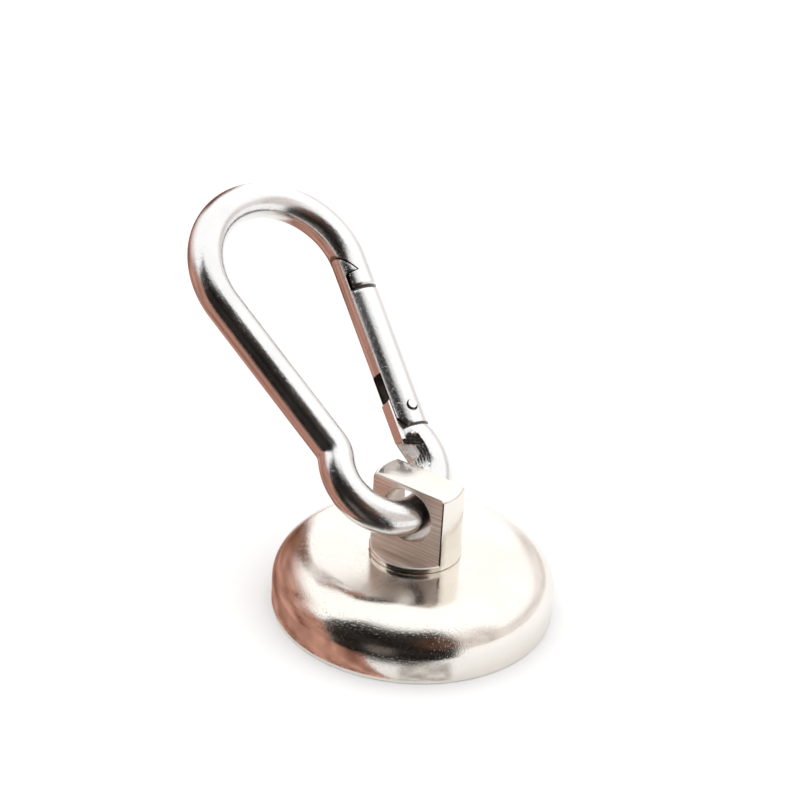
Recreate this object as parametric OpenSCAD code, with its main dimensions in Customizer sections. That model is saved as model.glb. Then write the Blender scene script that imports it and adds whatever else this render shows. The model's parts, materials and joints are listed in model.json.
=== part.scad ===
// Fishing magnet: a round pot magnet with a swivelling eye stud and a snap hook through the eye.
// Millimetres, +Z up. The origin is the centre of the pulling face, and the eye's hole runs along Y.

/* [Pot magnet] */
// Outside diameter of the steel cup
cup_d = 36; // [35:0.5:38]
// Height of the cup from the pulling face to its flat top
cup_h = 8.2; // [8:0.1:9]
// Height of the cup's straight side wall, below the rounded shoulder
wall_h = 3.5; // [3:0.1:4]
// Diameter of the flat top inside the rounded shoulder
flat_top_d = 24.2; // [23:0.1:25]
// Thickness of the cup's top web
web_t = 2.6; // [2.4:0.1:2.8]
// Thickness of the cup's side wall at the pulling face
side_t = 2.0; // [1.8:0.1:2.4]
// Width of the resin ring between magnet and cup
resin_w = 1.0; // [0.8:0.1:1.4]
// Diameter of the bore in the magnet
magnet_bore_d = 11; // [10.5:0.1:11.5]
// Thickness of the plug that closes the magnet's bore
plug_t = 1.9; // [1.5:0.1:2.2]

/* [Eye stud] */
// Diameter of the stud's round head
stud_d = 11.8; // [11.6:0.1:12]
// Height of the full round collar below the flats
collar_h = 0.9; // [0.8:0.1:1]
// Height of the whole head above the cup
stud_h = 10.5; // [10.4:0.1:11]
// Thickness between the two flats
slab_t = 4.7; // [4.5:0.1:4.8]
// Diameter of the cross hole
eye_d = 7.2; // [7.1:0.05:7.3]
// Height of the cross hole above the cup
eye_h = 6.2; // [6.1:0.05:6.3]
// Rounding of the head's top edge
head_round = 0.7; // [0.4:0.1:0.9]
// Diameter of the shank that turns in the cup
shank_d = 6; // [5.6:0.1:6.2]
// Radial clearance of the shank in the cup
shank_gap = 0.05; // [0.03:0.01:0.08]
// Diameter of the spigot below the shank
spigot_d = 4.4; // [4.2:0.1:4.6]
// Diameter of the peened end below the washer
peen_d = 6.2; // [5.8:0.1:6.6]
// Diameter of the retaining washer
washer_d = 9; // [8.6:0.1:9.4]
// Thickness of the retaining washer
washer_t = 1.1; // [1:0.05:1.2]

/* [Snap hook] */
// Diameter of the hook's round bar
wire_d = 4.7; // [4.6:0.05:4.75]
// Centreline radius of the small loop in the eye
loop_r = 6.85; // [6.8:0.05:7]
// Centreline radius of the big arch
arch_r = 10.5; // [10.3:0.1:10.7]
// Distance of the arch's centre from the loop's centre, along the hook
arch_y = 28.9; // [28.7:0.1:29.1]
// Sideways offset of the arch's centre, away from the gate
arch_x = 1.65; // [1.5:0.05:1.8]
// Lean of the straight spine from the hook's long axis
spine_lean = 14.9; // [14.5:0.1:15.3]
// Lean of the gate from the hook's long axis
gate_lean = 6.2; // [6:0.1:6.4]
// Centreline radius of the sharp bend at the foot of the spine
kink_r = 2.6; // [2.5:0.1:3]
// Centreline radius of the gentle bend below the gate
foot_r = 12; // [11:0.5:13]

/* [Gate] */
// Distance from the latch's upper end to the gate's pivot
pivot_s = 21.5; // [21.4:0.05:21.6]
// Diameter of the gate's pivot pin
pin_d = 1.56; // [1.5:0.02:1.6]
// Radial clearance of the pin in the tang
pin_gap = 0.05; // [0.03:0.01:0.08]
// Width of the gate's slot
slot_w = 2.0; // [1.95:0.05:2.1]
// Thickness of the tang inside the slot
tang_t = 1.8; // [1.7:0.05:1.85]
// Diameter of the gate's spring bore
bore_d = 1.8; // [1.75:0.05:1.85]
// Diameter of the spring plunger
plunger_d = 1.7; // [1.65:0.01:1.7]
// Wire diameter of the gate spring
spring_wire = 0.28; // [0.25:0.01:0.3]
// Turns of the gate spring
spring_turns = 8; // [6:1:10]

/* [Pose of the hook in the eye] */
// Swing about the eye's hole, away from upright
swing = -50.9; // [-51.2:0.1:-50.6]
// Lean in the hook's own plane
tilt = -15.5; // [-15.7:0.1:-15.3]
// Twist of the hook about its long axis
twist = -7.8; // [-8:0.1:-7.6]

/* [Hidden] */

steel_colour = [0.80, 0.80, 0.79];
nickel_colour = [0.82, 0.79, 0.74];
magnet_colour = [0.62, 0.62, 0.63];
resin_colour = [0.16, 0.16, 0.17];
spring_colour = [0.55, 0.56, 0.58];

cup_r = cup_d / 2;
flat_top_r = flat_top_d / 2;
pocket_r = cup_r - side_t;
pocket_h = cup_h - web_t;
magnet_r = pocket_r - resin_w;
magnet_bore_r = magnet_bore_d / 2;
rim_chamfer = 0.3;

stud_r = stud_d / 2;
shank_r = shank_d / 2;
end_play = 0.04;
stud_base = cup_h + end_play;
washer_top = pocket_h - end_play;
washer_bottom = washer_top - washer_t;
peen_h = 1.0;
eye_z = cup_h + eye_h;

// Centre of the hook's small loop, from the eye's centre, before the hook swings
loop_offset = [0.05, -0.4, 6.45];
wire_r = wire_d / 2;
bend_wire_r = wire_r - 0.01;
bend_lap = 0.1;
join = 0.01;
reach = 4;

// Spine and gate are tangent to the arch, and each meets the loop through an outside bend.
arch_centre = [-arch_x, arch_y];
spine_out = [-cos(spine_lean), -sin(spine_lean)];
spine_up = [-sin(spine_lean), cos(spine_lean)];
gate_out = [cos(gate_lean), -sin(gate_lean)];
gate_up = [sin(gate_lean), cos(gate_lean)];
kink_centre = bend_centre(spine_out, spine_up, kink_r);
foot_centre = bend_centre(gate_out, gate_up, foot_r);
kink_angle = atan2(kink_centre.y, kink_centre.x);
foot_angle = atan2(foot_centre.y, foot_centre.x);

// The latch seam, as distances outward from the gate's centreline and up from the arch's end
wedge_tip = [-0.72, -1.78];
barb_root = [-2.05, -1.95];
neck_foot = [-2.05, -4.5];
wedge_top = [-3.2, 2.09];
latch_gap = 0.3;
tongue_end = -3.65;

slot_top = -16;
slot_back = 1.55;
gate_end = -23.87;
shoulder = -24.15;
pivot = [-0.1, -pivot_s];
tang_top = -19.7;
tang_inner = -2.45;
tang_outer_r = 1.45;
bore_top = -8;
plunger_top = -14.5;
tip_gap = 0.02;
spring_gap = 0.02;

function along(v, d) = v * d;
function line_offset(out) = arch_centre * out + arch_r;
function bend_centre(out, up, r) =
    let (across = line_offset(out) + r)
    along(out, across) + along(up, sqrt(pow(loop_r + r, 2) - pow(across, 2)));

// Puts the hook's own plane, x towards the gate and y towards the arch, into the eye.
module in_eye() {
    translate([0, 0, eye_z])
        rotate([0, swing, 0])
            translate(loop_offset)
                rotate([tilt, 0, 0])
                    rotate([0, 0, twist])
                        rotate([90, 0, 90])
                            children();
}

// Puts the gate's own lines, x outward and y towards the arch, onto the hook.
module on_gate_line() {
    in_eye()
        translate(arch_centre + along(gate_out, arch_r))
            rotate([0, 0, -gate_lean])
                children();
}

// Bend of the bar, which runs on by lap at both ends, inside its slightly thicker neighbours
module wire_arc(centre, r, from, to, bar_r, lap = 0) {
    extra = lap / r * 180 / PI;
    translate(centre)
        rotate([0, 0, from - extra])
            rotate_extrude(angle = to - from + 2 * extra, $fn = 96)
                translate([r, 0])
                    circle(bar_r, $fn = 48);
}

module wire_run(from, to) {
    step = to - from;
    translate(from)
        rotate([0, 0, atan2(step.y, step.x)])
            rotate([0, 90, 0])
                cylinder(h = norm(step), r = wire_r, $fn = 48);
}

module plate(t, points) {
    translate([0, 0, -t / 2])
        linear_extrude(t)
            polygon(points);
}

function shoulder_curve(steps) = [
    for (i = [0:steps])
        let (a = 90 * i / steps)
        [flat_top_r + (cup_r - flat_top_r) * cos(a), wall_h + (cup_h - wall_h) * sin(a)]
];

module pot_cup() {
    color(nickel_colour)
        difference() {
            rotate_extrude($fn = 180)
                polygon(concat(
                    [[0, 0], [cup_r - rim_chamfer, 0], [cup_r, rim_chamfer]],
                    shoulder_curve(24),
                    [[0, cup_h]]
                ));
            translate([0, 0, -1])
                cylinder(h = pocket_h + 1, r = pocket_r, $fn = 180);
            cylinder(h = cup_h + 1, r = shank_r + shank_gap, $fn = 96);
        }
}

module ring_magnet() {
    color(magnet_colour)
        difference() {
            cylinder(h = pocket_h, r = magnet_r, $fn = 180);
            translate([0, 0, -1])
                cylinder(h = pocket_h + 2, r = magnet_bore_r, $fn = 96);
        }
}

module resin_ring() {
    color(resin_colour)
        difference() {
            cylinder(h = pocket_h, r = pocket_r, $fn = 180);
            translate([0, 0, -1])
                cylinder(h = pocket_h + 2, r = magnet_r, $fn = 180);
        }
}

module bore_plug() {
    color(resin_colour)
        cylinder(h = plug_t, r = magnet_bore_r, $fn = 96);
}

module head_blank() {
    head_top = cup_h + stud_h - stud_base;
    rotate_extrude($fn = 120) {
        square([stud_r - head_round, head_top]);
        square([stud_r, head_top - head_round]);
        translate([stud_r - head_round, head_top - head_round])
            circle(head_round, $fn = 48);
    }
}

module eye_stud() {
    flat_base = stud_base + collar_h - end_play;
    color(nickel_colour)
        difference() {
            union() {
                translate([0, 0, stud_base])
                    head_blank();
                translate([0, 0, washer_top])
                    cylinder(h = stud_base - washer_top + join, r = shank_r, $fn = 96);
                translate([0, 0, washer_bottom - join])
                    cylinder(h = washer_t + 2 * join, d = spigot_d, $fn = 96);
                translate([0, 0, washer_bottom - peen_h])
                    cylinder(h = peen_h, d = peen_d, $fn = 96);
            }
            for (side = [-1, 1])
                translate([-stud_d, side > 0 ? slab_t / 2 : -slab_t / 2 - stud_d, flat_base])
                    cube([2 * stud_d, stud_d, stud_h]);
            translate([0, 0, eye_z])
                rotate([90, 0, 0])
                    cylinder(h = 2 * stud_d, d = eye_d, center = true, $fn = 96);
        }
}

module retaining_washer() {
    color(steel_colour)
        translate([0, 0, washer_bottom])
            difference() {
                cylinder(h = washer_t, d = washer_d, $fn = 96);
                translate([0, 0, -1])
                    cylinder(h = washer_t + 2, d = spigot_d, $fn = 96);
            }
}

// Flat plate left at the bar's end, which the gate turns on
module tang() {
    intersection() {
        plate(tang_t, [
            [tang_inner, shoulder - 1], [tang_inner, tang_top - 0.3], [tang_inner + 0.3, tang_top],
            [pivot.x, tang_top], [pivot.x + tang_outer_r, tang_top], [pivot.x + tang_outer_r, shoulder - 1]
        ]);
        union() {
            translate([tang_inner - 1, shoulder - 2, -2])
                cube([pivot.x - tang_inner + 1, reach + 4, 4]);
            translate([pivot.x - 1, shoulder - 2, -2])
                cube([tang_outer_r + 2, pivot.y - shoulder + 2, 4]);
            translate([pivot.x, pivot.y, -2])
                cylinder(h = 4, r = tang_outer_r, $fn = 48);
        }
    }
}

// Side of the latch seam that belongs to the gate, grown by the gap
module latch_clearance() {
    plate(8, [
        wedge_top + [0, latch_gap * 1.4], wedge_tip + [0.22, -0.04], barb_root + [0.27, -0.13],
        [barb_root.x + 0.27, tongue_end], [reach, tongue_end], [reach, -9], [-reach, -9],
        [-reach, wedge_top.y]
    ]);
}

module gate_side() {
    plate(8, [
        wedge_top, wedge_tip, barb_root, neck_foot, [reach, neck_foot.y - 0.25],
        [reach, gate_end], [pivot.x - 0.8, gate_end], [-reach, gate_end + 3.6], [-reach, wedge_top.y]
    ]);
}

module hook_body() {
    spine_foot = kink_centre - along(spine_out, kink_r);
    spine_head = arch_centre + along(spine_out, arch_r);
    color(steel_colour) {
        difference() {
            in_eye() {
                wire_arc(arch_centre, arch_r, -gate_lean, 180 + spine_lean, bend_wire_r, bend_lap);
                wire_run(spine_foot, spine_head);
                wire_arc(kink_centre, kink_r, kink_angle - 180, spine_lean, bend_wire_r, bend_lap);
                wire_arc([0, 0], loop_r, kink_angle, 360 + foot_angle, wire_r);
                wire_arc(foot_centre, foot_r, 180 - gate_lean, 180 + foot_angle, bend_wire_r, bend_lap);
                translate(arch_centre + along(gate_out, arch_r))
                    rotate([0, 0, -gate_lean])
                        rotate([90, 0, 0])
                            cylinder(h = 6, r = wire_r, $fn = 48);
            }
            on_gate_line()
                latch_clearance();
            on_gate_line()
                translate([-reach, shoulder, -reach])
                    cube([2 * reach, 3, 2 * reach]);
        }
        on_gate_line()
            difference() {
                tang();
                translate(pivot)
                    cylinder(h = reach, r = pin_d / 2 + pin_gap, center = true, $fn = 48);
            }
    }
}

module hook_gate() {
    color(steel_colour)
        on_gate_line()
            difference() {
                intersection() {
                    rotate([90, 0, 0])
                        translate([0, 0, -reach])
                            cylinder(h = reach - gate_end, r = wire_r, $fn = 48);
                    gate_side();
                }
                translate([-reach, gate_end - 1, -slot_w / 2])
                    cube([reach + slot_back, slot_top - gate_end + 1, slot_w]);
                translate([pivot.x, slot_top - 1, 0])
                    rotate([-90, 0, 0])
                        cylinder(h = bore_top - slot_top + 1, d = bore_d, $fn = 48);
                translate(pivot)
                    cylinder(h = 2 * reach, d = pin_d, center = true, $fn = 48);
            }
}

module gate_pin() {
    color(steel_colour)
        on_gate_line()
            intersection() {
                translate(pivot)
                    cylinder(h = 2 * reach, d = pin_d, center = true, $fn = 48);
                rotate([90, 0, 0])
                    cylinder(h = 2 * pivot_s, r = wire_r, $fn = 48);
            }
}

module spring_plunger() {
    color(spring_colour)
        on_gate_line()
            translate([pivot.x, tang_top + tip_gap, 0])
                rotate([-90, 0, 0])
                    cylinder(h = plunger_top - tang_top - tip_gap, d = plunger_d, $fn = 48);
}

// Coil of round wire swept as rings of points along a helix
module coil(height, mean_r, wire, turns) {
    sides = 6;
    rings = 12 * turns;
    rise = (height - wire) / rings;
    points = [
        for (i = [0:rings], k = [0:sides - 1])
            let (a = 360 * turns * i / rings, b = 360 * k / sides, r = mean_r + wire / 2 * cos(b))
            [r * cos(a), r * sin(a), wire / 2 + rise * i + wire / 2 * sin(b)]
    ];
    skin = [
        for (i = [0:rings - 1], k = [0:sides - 1])
            let (a = i * sides + k, b = i * sides + (k + 1) % sides)
            [a, a + sides, b + sides, b]
    ];
    start_cap = [for (k = [0:sides - 1]) k];
    end_cap = [for (k = [sides - 1:-1:0]) rings * sides + k];
    polyhedron(points, concat(skin, [start_cap, end_cap]));
}

module gate_spring() {
    color(spring_colour)
        on_gate_line()
            translate([pivot.x, plunger_top + spring_gap, 0])
                rotate([-90, 0, 0])
                    coil(bore_top - plunger_top - 2 * spring_gap, (bore_d - spring_wire) / 2 - 0.1,
                        spring_wire, spring_turns);
}

pot_cup();
ring_magnet();
resin_ring();
bore_plug();
eye_stud();
retaining_washer();
hook_body();
hook_gate();
gate_pin();
gate_spring();
spring_plunger();
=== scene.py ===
"""Looks of a fishing magnet: a polished pot magnet with a swivelling eye stud and a snap hook.

Meshes are built in millimetres, the hook's and the gate's on lines of their own. Each is then placed in the
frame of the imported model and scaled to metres.
"""

import json
import math

import bmesh
import bpy
from mathutils import Matrix, Vector


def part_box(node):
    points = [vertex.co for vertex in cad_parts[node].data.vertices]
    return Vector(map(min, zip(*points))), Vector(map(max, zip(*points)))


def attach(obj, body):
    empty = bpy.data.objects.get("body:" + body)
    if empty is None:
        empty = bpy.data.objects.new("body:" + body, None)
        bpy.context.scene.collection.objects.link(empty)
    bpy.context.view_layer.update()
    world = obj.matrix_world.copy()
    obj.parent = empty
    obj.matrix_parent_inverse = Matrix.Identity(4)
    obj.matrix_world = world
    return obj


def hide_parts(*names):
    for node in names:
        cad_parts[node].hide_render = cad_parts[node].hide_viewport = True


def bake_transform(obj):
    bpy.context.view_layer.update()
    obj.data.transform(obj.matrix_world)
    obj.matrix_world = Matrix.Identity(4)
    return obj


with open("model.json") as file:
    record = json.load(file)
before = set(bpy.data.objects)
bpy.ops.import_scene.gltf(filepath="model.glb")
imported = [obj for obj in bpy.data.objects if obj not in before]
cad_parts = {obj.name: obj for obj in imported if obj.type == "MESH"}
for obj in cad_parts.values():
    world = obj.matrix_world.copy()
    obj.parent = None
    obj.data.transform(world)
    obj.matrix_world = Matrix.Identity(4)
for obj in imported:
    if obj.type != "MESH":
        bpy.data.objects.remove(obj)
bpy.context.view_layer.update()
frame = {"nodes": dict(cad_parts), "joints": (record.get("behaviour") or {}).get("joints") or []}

MM = 0.001

# How far cutting tools reach past the metal, in millimetres
OVERSHOOT = 1

# ---------------------------------------------------------------- driving dimensions, millimetres
CUP_WALL_H = 3.5
CUP_FLAT_R = 12.1
CUP_SIDE_T = 2.0
CUP_WEB_T = 2.6
CUP_BORE_R = 3.05
COLLAR_H = 0.9
SLAB_T = 4.7
EYE_R = 3.6
HEAD_ROUND = 0.7
SHANK_R = 3.0
SPIGOT_R = 2.2
PEEN_R = 3.1
PEEN_H = 1.0

WIRE_R = 2.35
LOOP_R = 6.85
ARCH_R = 10.5
ARCH_CENTRE = Vector((-1.65, 28.9))
SPINE_LEAN = math.radians(14.9)
GATE_LEAN = math.radians(6.2)
KINK_R = 2.6
FOOT_R = 12.0

PIVOT = Vector((-0.1, -21.5))
PIN_R = 0.78
TANG_T = 1.8
SLOT_W = 2.0
SLOT_TOP = -16.0
SLOT_BACK = 1.55
SPRING_BORE_R = 0.9
SPRING_BORE_TOP = -8.0
PLUNGER_R = 0.85
PLUNGER_TOP = -14.5
COIL_R = 0.66
COIL_WIRE_R = 0.14
COIL_TURNS = 8
FIT_GAP = 0.02
GATE_END = -23.87
SHOULDER = -24.15
TANG_TOP = -19.7
TANG_INNER = -2.45
TANG_OUTER_R = 1.45
TONGUE_END = -4.1
LIP_H, LIP_INSET = 0.5, 0.4


# ---------------------------------------------------------------- places taken from the frame
def joint(name):
    return next(j for j in frame["joints"] if j["name"] == name)


cup_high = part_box("pot_cup")[1] / MM
stud_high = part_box("eye_stud")[1] / MM
washer_low, washer_high = (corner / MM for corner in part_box("retaining_washer"))
CUP_R = cup_high.x
CUP_H = cup_high.z
STUD_R = stud_high.x
STUD_TOP = stud_high.z
EYE_Z = joint("hook_swing")["pos_m"][2] / MM

hook_normal = Vector(joint("gate_hinge")["axis"]).normalized()
gate_up = Vector(joint("plunger_slide")["axis"]).normalized()
gate_out = gate_up.cross(hook_normal).normalized()
gate_up = hook_normal.cross(gate_out).normalized()
pivot_point = Vector(joint("gate_hinge")["pos_m"]) / MM
gate_origin = pivot_point - gate_out * PIVOT.x - gate_up * PIVOT.y

# The hook's own axes, x towards the gate and y towards the arch, seen from the gate's lines
hook_x = gate_out * math.cos(GATE_LEAN) + gate_up * math.sin(GATE_LEAN)
hook_y = gate_up * math.cos(GATE_LEAN) - gate_out * math.sin(GATE_LEAN)
gate_head = ARCH_CENTRE + Vector((math.cos(GATE_LEAN), -math.sin(GATE_LEAN))) * ARCH_R
hook_origin = gate_origin - hook_x * gate_head.x - hook_y * gate_head.y


def matrix_of(x, y, z, origin):
    m = Matrix.Identity(4)
    for column, vector in enumerate((x, y, z, origin)):
        for row in range(3):
            m[row][column] = vector[row]
    return m


ON_HOOK = matrix_of(hook_x, hook_y, hook_normal, hook_origin)
ON_GATE = matrix_of(gate_out, gate_up, hook_normal, gate_origin)


# ---------------------------------------------------------------- mesh tools
ON_AXIS = 1e-6


def new_object(name, bm):
    bmesh.ops.recalc_face_normals(bm, faces=bm.faces)
    mesh = bpy.data.meshes.new(name)
    bm.to_mesh(mesh)
    bm.free()
    obj = bpy.data.objects.new(name, mesh)
    bpy.context.scene.collection.objects.link(obj)
    return obj


def skin_rings(bm, rings):
    """Joins rings of vertices with quads, and caps both ends."""
    count = len(rings[0])
    for a, b in zip(rings, rings[1:]):
        for k in range(count):
            n = (k + 1) % count
            bm.faces.new((a[k], a[n], b[n], b[k]))
    bm.faces.new(rings[0])
    bm.faces.new(list(reversed(rings[-1])))


def lathe(name, profile, steps):
    """Closed profile of (radius, height) points, turned about Z. A point on the axis becomes one vertex."""
    bm = bmesh.new()
    columns = []
    for r, z in profile:
        if r < ON_AXIS:
            columns.append([bm.verts.new((0, 0, z))])
        else:
            turn = (2 * math.pi * k / steps for k in range(steps))
            columns.append([bm.verts.new((r * math.cos(a), r * math.sin(a), z)) for a in turn])
    for a, b in zip(columns, columns[1:] + columns[:1]):
        for k in range(steps):
            n = (k + 1) % steps
            corners = [a[k % len(a)], a[n % len(a)], b[n % len(b)], b[k % len(b)]]
            distinct = list(dict.fromkeys(corners))
            if len(distinct) > 2:
                bm.faces.new(distinct)
    return new_object(name, bm)


def prism(name, outline, low, high):
    """Outline of (x, y) points, extruded from z low to z high."""
    bm = bmesh.new()
    rings = [[bm.verts.new((x, y, z)) for x, y in outline] for z in (low, high)]
    skin_rings(bm, rings)
    return new_object(name, bm)


def rod(name, r, start, end, steps, ring_gap=None):
    """Round rod between two points, with a ring of vertices every ring_gap if it is given."""
    bm = bmesh.new()
    start, end = Vector(start), Vector(end)
    turn = (end - start).to_track_quat("Z", "Y").to_matrix()
    stretches = math.ceil((end - start).length / ring_gap) if ring_gap else 1
    rings = []
    for i in range(stretches + 1):
        base = start.lerp(end, i / stretches)
        ring = []
        for k in range(steps):
            a = 2 * math.pi * k / steps
            ring.append(bm.verts.new(base + turn @ Vector((r * math.cos(a), r * math.sin(a), 0))))
        rings.append(ring)
    skin_rings(bm, rings)
    return new_object(name, bm)


def between(pair, t):
    return pair[0] + (pair[1] - pair[0]) * t


def smooth_step(value):
    t = min(max(value, 0.0), 1.0)
    return t * t * (3 - 2 * t)


def arc(centre, r, start, end, step):
    """Points of an arc, angles in radians, about step apart along it."""
    count = max(2, math.ceil(abs(end - start) * r / step))
    turn = (start + (end - start) * k / count for k in range(count + 1))
    return [(centre[0] + r * math.cos(a), centre[1] + r * math.sin(a)) for a in turn]


def round_corner(corner, before, after, r, steps=6):
    """Points that round one corner of an outline."""
    corner, before, after = Vector(corner), Vector(before), Vector(after)
    a, b = (before - corner).normalized(), (after - corner).normalized()
    half = a.angle(b) / 2
    reach = r / math.tan(half)
    centre = corner + (a + b).normalized() * (r / math.sin(half))
    start, end = corner + a * reach - centre, corner + b * reach - centre
    sweep = math.atan2(start.x * end.y - start.y * end.x, start.dot(end))
    points = []
    for k in range(steps + 1):
        t = sweep * k / steps
        points.append((centre.x + start.x * math.cos(t) - start.y * math.sin(t),
                       centre.y + start.x * math.sin(t) + start.y * math.cos(t)))
    return points


def rounded(outline, radii):
    """Outline with each corner rounded by its own radius. Zero leaves the corner sharp."""
    points = []
    for k, corner in enumerate(outline):
        if radii[k]:
            points += round_corner(corner, outline[k - 1], outline[(k + 1) % len(outline)], radii[k])
        else:
            points.append(tuple(corner))
    return points


def drop(obj):
    mesh = obj.data
    bpy.data.objects.remove(obj)
    bpy.data.meshes.remove(mesh)


def apply_modifiers(obj):
    bpy.context.view_layer.update()
    graph = bpy.context.evaluated_depsgraph_get()
    mesh = bpy.data.meshes.new_from_object(obj.evaluated_get(graph))
    old = obj.data
    obj.modifiers.clear()
    obj.data = mesh
    mesh.name = obj.name
    bpy.data.meshes.remove(old)


def boolean(obj, operation, *tools):
    for tool in tools:
        modifier = obj.modifiers.new("boolean", "BOOLEAN")
        modifier.operation = operation
        modifier.solver = "EXACT"
        modifier.object = tool
        apply_modifiers(obj)
        drop(tool)


def bevel(obj, width, segments, angle):
    """Rounds the sharp edges by a small width, and keeps flat faces flat."""
    modifier = obj.modifiers.new("bevel", "BEVEL")
    modifier.width = width
    modifier.segments = segments
    modifier.limit_method = "ANGLE"
    modifier.angle_limit = math.radians(angle)
    modifier.use_clamp_overlap = True
    apply_modifiers(obj)


def even_shading(obj):
    """Lets the large faces set the normals, so that flats stay flat between their rounded edges."""
    modifier = obj.modifiers.new("normals", "WEIGHTED_NORMAL")
    modifier.keep_sharp = True
    apply_modifiers(obj)


def finish_piece(obj, body, nodes, material, place=None, smooth=35, machined=True):
    """Places a millimetre mesh in the frame, in metres, and hides the imported pieces it stands for.

    body is None for a piece that is not attached to a body. smooth is the angle, in degrees, that stays
    smooth between faces, and machined pieces get their normals from their large faces.
    """
    mesh = obj.data
    mesh.transform(Matrix.Scale(MM, 4) @ (place or Matrix.Identity(4)))
    mesh.materials.clear()
    mesh.materials.append(material)
    for polygon in mesh.polygons:
        polygon.use_smooth = True
    bpy.context.view_layer.objects.active = obj
    obj.select_set(True)
    bpy.ops.object.shade_smooth_by_angle(angle=math.radians(smooth))
    obj.select_set(False)
    if machined:
        even_shading(obj)
    if body:
        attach(obj, body)
    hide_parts(*nodes)


# ---------------------------------------------------------------- materials
# The middle range of the noise texture, which colours and roughness are spread over
NOISE_LOW, NOISE_HIGH = 0.35, 0.65


def nodes_of(name):
    material = bpy.data.materials.new(name)
    material.use_nodes = True
    tree = material.node_tree
    return material, tree, tree.nodes["Principled BSDF"]


def link(tree, a, output, b, socket):
    tree.links.new(a.outputs[output], b.inputs[socket])


def noise(tree, coordinates, scale, detail, stretch=None, output="Object"):
    """Noise over the piece's own coordinates, in features per metre, stretched along its axes if asked."""
    texture = tree.nodes.new("ShaderNodeTexNoise")
    texture.inputs["Scale"].default_value = scale
    texture.inputs["Detail"].default_value = detail
    if stretch:
        mapping = tree.nodes.new("ShaderNodeMapping")
        mapping.inputs["Scale"].default_value = stretch
        link(tree, coordinates, output, mapping, "Vector")
        link(tree, mapping, "Vector", texture, "Vector")
    else:
        link(tree, coordinates, output, texture, "Vector")
    return texture


def spread(tree, source, low, high, from_low=NOISE_LOW, from_high=NOISE_HIGH):
    """Maps a texture's middle range to low..high."""
    ranged = tree.nodes.new("ShaderNodeMapRange")
    ranged.inputs["From Min"].default_value = from_low
    ranged.inputs["From Max"].default_value = from_high
    ranged.inputs["To Min"].default_value = low
    ranged.inputs["To Max"].default_value = high
    link(tree, source, "Fac", ranged, "Value")
    return ranged


def tint(tree, source, dark, light):
    """Colours that go from dark to light over a texture's middle range."""
    ramp = tree.nodes.new("ShaderNodeValToRGB")
    ramp.color_ramp.elements[0].position = NOISE_LOW
    ramp.color_ramp.elements[0].color = (*dark, 1)
    ramp.color_ramp.elements[1].position = NOISE_HIGH
    ramp.color_ramp.elements[1].color = (*light, 1)
    link(tree, source, "Fac", ramp, "Fac")
    return ramp


def bumps(tree, shader, layers):
    """Chains bump layers of (texture, distance in millimetres, strength) into the shader's normal."""
    below = None
    for texture, distance, strength in layers:
        node = tree.nodes.new("ShaderNodeBump")
        node.inputs["Distance"].default_value = distance * MM
        node.inputs["Strength"].default_value = strength
        tree.links.new(texture.outputs[0], node.inputs["Height"])
        if below:
            link(tree, below, "Normal", node, "Normal")
        below = node
    link(tree, below, "Normal", shader, "Normal")


def polished_metal(name, dark, light, rough, peel, lines=None):
    """Mirror-like metal with orange peel, sparkle, pits, faint smears and, if asked, drawn or milled lines.

    rough is (low, high). peel is the depth of the orange peel in millimetres.
    lines is (stretch of the noise along each axis, depth in millimetres, UV map or None for object axes).
    """
    material, tree, shader = nodes_of(name)
    shader.inputs["Metallic"].default_value = 1.0
    coordinates = tree.nodes.new("ShaderNodeTexCoord")
    swell = noise(tree, coordinates, 380, 1)
    grain = noise(tree, coordinates, 2600, 2)
    sparkle = noise(tree, coordinates, 5000, 3)
    smear = noise(tree, coordinates, 130, 4)
    link(tree, tint(tree, smear, dark, light), "Color", shader, "Base Color")
    link(tree, spread(tree, smear, *rough), "Result", shader, "Roughness")
    pits = spread(tree, noise(tree, coordinates, 4200, 1), 0, 1, 0.60, 0.70)
    layers = [(swell, peel * 2, 0.6), (grain, peel, 0.7)]
    layers += [(sparkle, peel * 2, 0.8), (pits, peel * 2, 0.9)]
    if lines:
        stretch, depth, uv_map = lines
        source, output = coordinates, "Object"
        if uv_map:
            source, output = tree.nodes.new("ShaderNodeUVMap"), "UV"
            source.uv_map = uv_map
        layers.append((noise(tree, source, 1, 3, stretch, output), depth, 0.7))
    bumps(tree, shader, layers)
    return material


NICKEL = polished_metal("polished_nickel", (0.80, 0.76, 0.70), (0.86, 0.825, 0.775), (0.12, 0.19), 0.004)
NICKEL_HEAD = polished_metal("turned_nickel", (0.79, 0.745, 0.68), (0.86, 0.82, 0.76), (0.12, 0.2), 0.002,
                             ((60, 60, 5200), 0.0015, None))
STEEL = polished_metal("polished_steel", (0.74, 0.735, 0.73), (0.83, 0.825, 0.82), (0.15, 0.23), 0.004,
                       ((70, 2600, 1), 0.002, "wire"))
# Unpolished cut finish; its dark colour is painted shade for the gaps of the latch, the gate's slot and the
# rivet's crescent
CUT_FINISH_AND_SHADE = polished_metal("cut_steel_painted_shade", (0.13, 0.115, 0.105), (0.40, 0.37, 0.35), (0.28, 0.42), 0.004,
                           ((1200, 5200, 900), 0.008, None))
WASHER_STEEL = polished_metal("turned_steel", (0.60, 0.59, 0.57), (0.74, 0.73, 0.71), (0.2, 0.34), 0.003)
MAGNET_PLATE = polished_metal("magnet_plate", (0.60, 0.60, 0.60), (0.70, 0.70, 0.69), (0.2, 0.32), 0.004,
                              ((400, 3200, 400), 0.004, None))
SPRING_WIRE = polished_metal("spring_wire", (0.42, 0.42, 0.43), (0.58, 0.58, 0.59), (0.22, 0.35), 0.002)


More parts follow.
